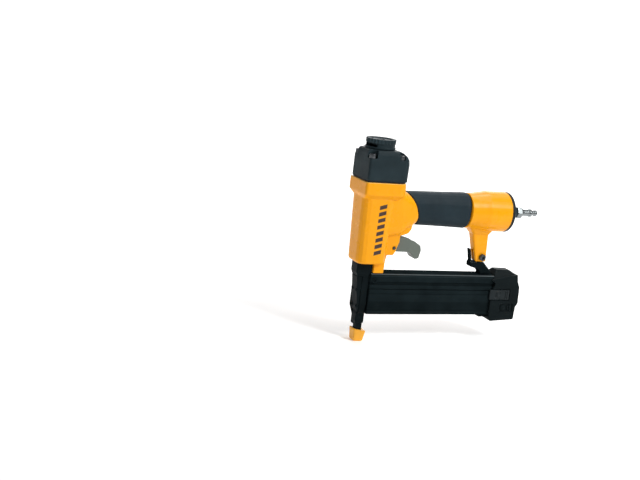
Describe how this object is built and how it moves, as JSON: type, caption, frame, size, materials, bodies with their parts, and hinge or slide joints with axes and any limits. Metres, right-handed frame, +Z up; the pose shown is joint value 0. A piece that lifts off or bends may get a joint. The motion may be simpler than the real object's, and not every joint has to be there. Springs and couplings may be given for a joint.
{
  "type": "brad nailer",
  "caption": "Pneumatic brad nailer with a rubber grip, rear drum, sliding black magazine, trigger, contact trip and swivelling exhaust cover.",
  "frame": {"origin": "middle of the soft tip's flat contact pad, 3.2 mm behind the drive line", "axes": "+Z up along the drive line, away from the work; +X along the handle towards the air plug; +Y towards the contact trip's side strip"},
  "size_m": [0.2417, 0.05, 0.238],
  "materials": {
    "yellow_casting": "glossy yellow-orange paint on a casting",
    "black_cap": "fine satin grain",
    "black_magazine": "satin black",
    "black_nose": "black oxide, slightly worn",
    "black_plastic": "fine moulded grain",
    "grip_rubber": "finely textured",
    "seal_rubber": "smooth",
    "grey_plastic": "satin, moulded",
    "soft_tip": "soft translucent-looking plastic",
    "bright_steel": "bright",
    "dark_steel": "black oxide",
    "aluminium_parts": "machined",
    "brass_parts": "machined"
  },
  "bodies": {
    "frame": {"main_housing": "yellow_casting", "cylinder_cap": "black_cap", "rear_end_cap": "black_cap", "magazine_channel": "black_magazine", "magazine_bracket": "black_magazine", "nose_body": "black_nose", "nose_front_plate": "black_nose", "grip_sleeve": "grip_rubber", "cap_gasket": "seal_rubber", "bumper": "seal_rubber", "end_cap_seal": "seal_rubber", "air_plug": "bright_steel", "head_valve_spring": "bright_steel", "contact_spring": "bright_steel", "valve_spring": "bright_steel", "valve_retainer": "bright_steel", "cap_screw_1": "dark_steel", "cap_screw_2": "dark_steel", "cap_screw_3": "dark_steel", "cap_screw_4": "dark_steel", "deflector_screw": "dark_steel", "nose_screw_1": "dark_steel", "nose_screw_2": "dark_steel", "nose_screw_3": "dark_steel", "nose_screw_4": "dark_steel", "magazine_front_screw": "dark_steel", "bracket_bolt": "dark_steel", "bracket_nut": "dark_steel", "trigger_pin": "dark_steel", "cylinder_sleeve": "aluminium_parts", "trigger_valve_body": "brass_parts"},
    "exhaust": {"exhaust_deflector": "black_cap"},
    "head_valve": {"head_valve": "aluminium_parts", "head_valve_seal": "seal_rubber"},
    "drive": {"piston": "aluminium_parts", "piston_ring": "seal_rubber", "driver_blade": "bright_steel"},
    "contact_trip": {"contact_arm": "black_nose", "no_mar_tip": "soft_tip"},
    "stem": {"valve_stem": "bright_steel"},
    "trigger": {"trigger": "grey_plastic", "trigger_lever_pin": "dark_steel"},
    "trigger_lever": {"trigger_lever": "dark_steel"},
    "magazine": {"sliding_magazine": "black_magazine", "magazine_end_cap": "black_plastic", "latch_pin": "bright_steel", "latch_spring": "bright_steel", "fastener_rail": "bright_steel"},
    "latch": {"latch_lever": "black_plastic"},
    "pusher": {"pusher": "bright_steel", "pusher_spring": "bright_steel"}
  },
  "joints": [
    {"name": "exhaust_swivel", "type": "hinge", "parent": "frame", "child": "exhaust", "pos_m": [-0.0032, 0, 0.23], "axis": [0, 0, 1], "continuous": true},
    {"name": "head_valve_lift", "type": "slide", "parent": "frame", "child": "head_valve", "axis": [0, 0, 1], "range_m": [0, 0.003], "stiffness_N_per_m": 1500, "springref_m": -0.004, "deforming": ["head_valve_spring"]},
    {"name": "piston_drive", "type": "slide", "parent": "frame", "child": "drive", "axis": [0, 0, -1], "range_m": [0, 0.06]},
    {"name": "contact_trip_slide", "type": "slide", "parent": "frame", "child": "contact_trip", "axis": [0, 0, 1], "range_m": [0, 0.006], "stiffness_N_per_m": 500, "springref_m": -0.03, "deforming": ["contact_spring"]},
    {"name": "trigger_pull", "type": "hinge", "parent": "frame", "child": "trigger", "pos_m": [0.0248, 0, 0.114], "axis": [0, -1, 0], "range_deg": [0, 10], "stiffness_Nm_per_rad": 0.08, "springref_deg": -20.05},
    {"name": "valve_stem_lift", "type": "slide", "parent": "frame", "child": "stem", "axis": [0, 0, 1], "range_m": [0, 0.0024], "deforming": ["valve_spring"]},
    {"name": "trigger_lever_tilt", "type": "hinge", "parent": "trigger", "child": "trigger_lever", "pos_m": [0.0478, 0, 0.1148], "axis": [0, 1, 0], "range_deg": [0, 3], "stiffness_Nm_per_rad": 0.02, "springref_deg": -17.19},
    {"name": "magazine_slide", "type": "slide", "parent": "frame", "child": "magazine", "axis": [1, 0, 0], "range_m": [0, 0.11]},
    {"name": "latch_press", "type": "hinge", "parent": "magazine", "child": "latch", "pos_m": [0.1748, -0.0125, 0.06], "axis": [0, 0, 1], "range_deg": [0, 5], "stiffness_Nm_per_rad": 0.1, "springref_deg": -17.19, "deforming": ["latch_spring"]},
    {"name": "pusher_slide", "type": "slide", "parent": "magazine", "child": "pusher", "axis": [1, 0, 0], "range_m": [0, 0.125], "stiffness_N_per_m": 20, "springref_m": -0.25}
  ],
  "couplings": [
    {"joint": "valve_stem_lift", "follows": "trigger_pull", "m_per_rad": 0.0126}
  ]
}
